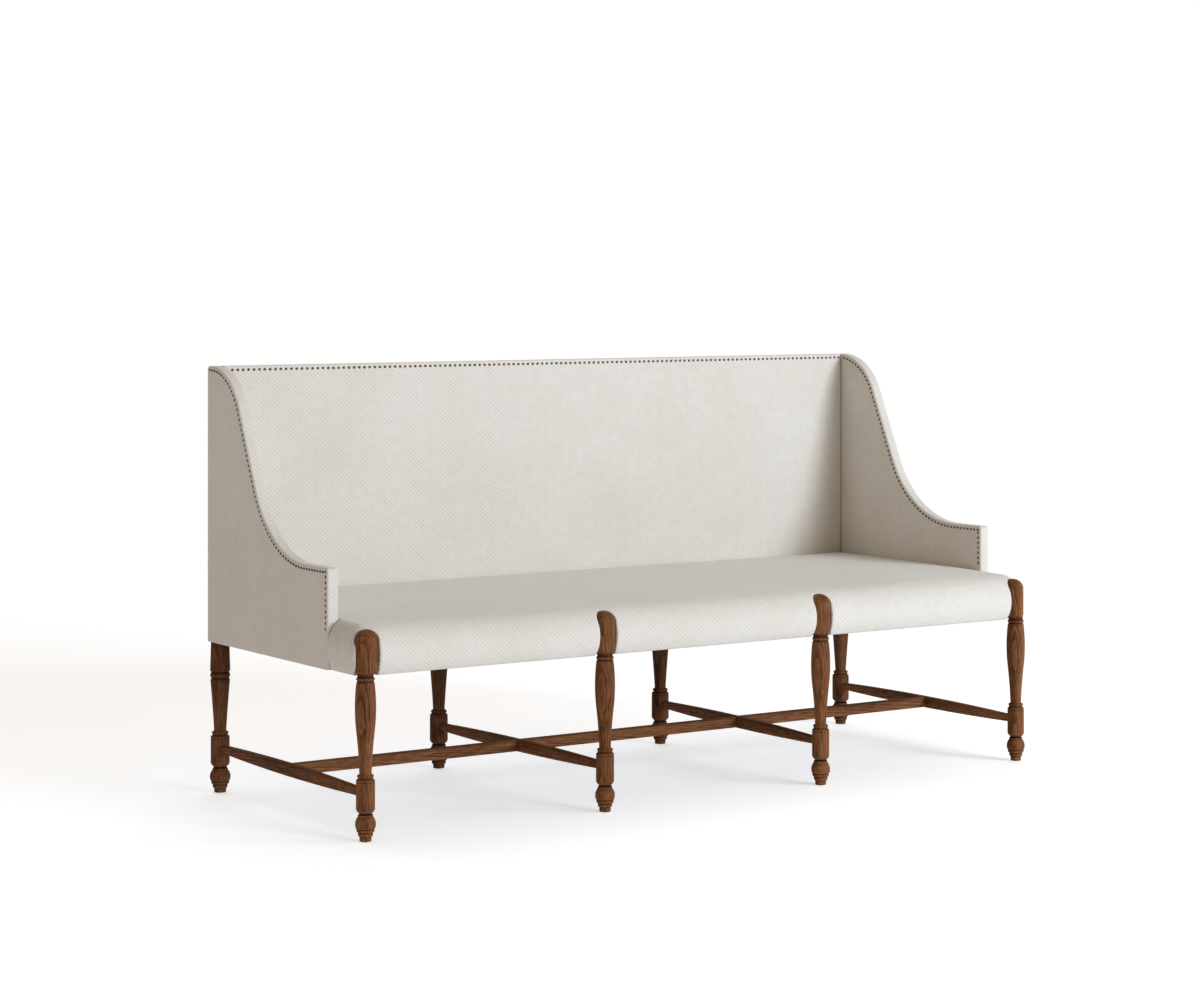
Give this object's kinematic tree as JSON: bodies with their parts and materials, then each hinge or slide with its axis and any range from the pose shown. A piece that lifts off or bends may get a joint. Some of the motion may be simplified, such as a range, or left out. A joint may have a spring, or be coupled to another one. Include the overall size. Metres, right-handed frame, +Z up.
{
  "type": "upholstered settee",
  "caption": "Long upholstered settee with a thin upright back, scooped wings, nailhead edges, a tight seat with a rounded front, and turned wooden legs tied by low stretchers.",
  "frame": {"origin": "on the floor, in the middle of the whole part's length and depth", "axes": "+X along the seat to the sitter's left, +Y from the front to the back, +Z up"},
  "size_m": [1.894, 0.7407, 0.992],
  "materials": {
    "cover_fabric": "off-white woven cloth",
    "leg_wood": "dark brown stain, satin lacquer",
    "frame_wood": "planed, unfinished",
    "plywood": "sawn, unfinished",
    "hardboard": "pressed board",
    "felt": "polyester felt and fibre",
    "foam": "seat foam",
    "webbing": "woven elastic",
    "dust_cloth": "black non-woven cloth",
    "nail_bronze": "dark antique bronze",
    "screw_steel": "zinc plated",
    "glide_nylon": "matte nylon"
  },
  "bodies": {
    "root": {"seat_cover": "cover_fabric", "inside_back_cover": "cover_fabric", "outside_back_cover": "cover_fabric", "back_top_band": "cover_fabric", "left_outside_wing_cover": "cover_fabric", "right_outside_wing_cover": "cover_fabric", "left_inside_wing_cover": "cover_fabric", "right_inside_wing_cover": "cover_fabric", "left_wing_band": "cover_fabric", "right_wing_band": "cover_fabric", "front_leg_1": "leg_wood", "front_leg_2": "leg_wood", "front_leg_3": "leg_wood", "front_leg_4": "leg_wood", "rear_leg_1": "leg_wood", "rear_leg_2": "leg_wood", "rear_leg_3": "leg_wood", "rear_leg_4": "leg_wood", "cross_stretcher_1": "leg_wood", "cross_stretcher_2": "leg_wood", "cross_stretcher_3": "leg_wood", "cross_stretcher_4": "leg_wood", "centre_stretcher": "leg_wood", "front_seat_rail": "frame_wood", "rear_seat_rail": "frame_wood", "left_side_rail": "frame_wood", "right_side_rail": "frame_wood", "seat_cross_rail_1": "frame_wood", "seat_cross_rail_2": "frame_wood", "corner_blocks": "frame_wood", "back_bottom_rail": "frame_wood", "back_top_rail": "frame_wood", "left_end_stile": "frame_wood", "right_end_stile": "frame_wood", "middle_stile_1": "frame_wood", "middle_stile_2": "frame_wood", "post_dowels": "frame_wood", "rail_dowels": "frame_wood", "left_wing_board": "plywood", "right_wing_board": "plywood", "back_panel": "hardboard", "back_padding": "felt", "outside_back_felt": "felt", "left_outside_wing_felt": "felt", "right_outside_wing_felt": "felt", "left_inside_wing_felt": "felt", "right_inside_wing_felt": "felt", "front_roll_pad": "felt", "seat_foam": "foam", "seat_webbing": "webbing", "dust_cover": "dust_cloth", "left_outside_wing_nails": "nail_bronze", "right_outside_wing_nails": "nail_bronze", "left_inside_wing_nails": "nail_bronze", "right_inside_wing_nails": "nail_bronze", "back_top_nails": "nail_bronze", "frame_screws": "screw_steel", "foot_glides": "glide_nylon"}
  },
  "joints": []
}
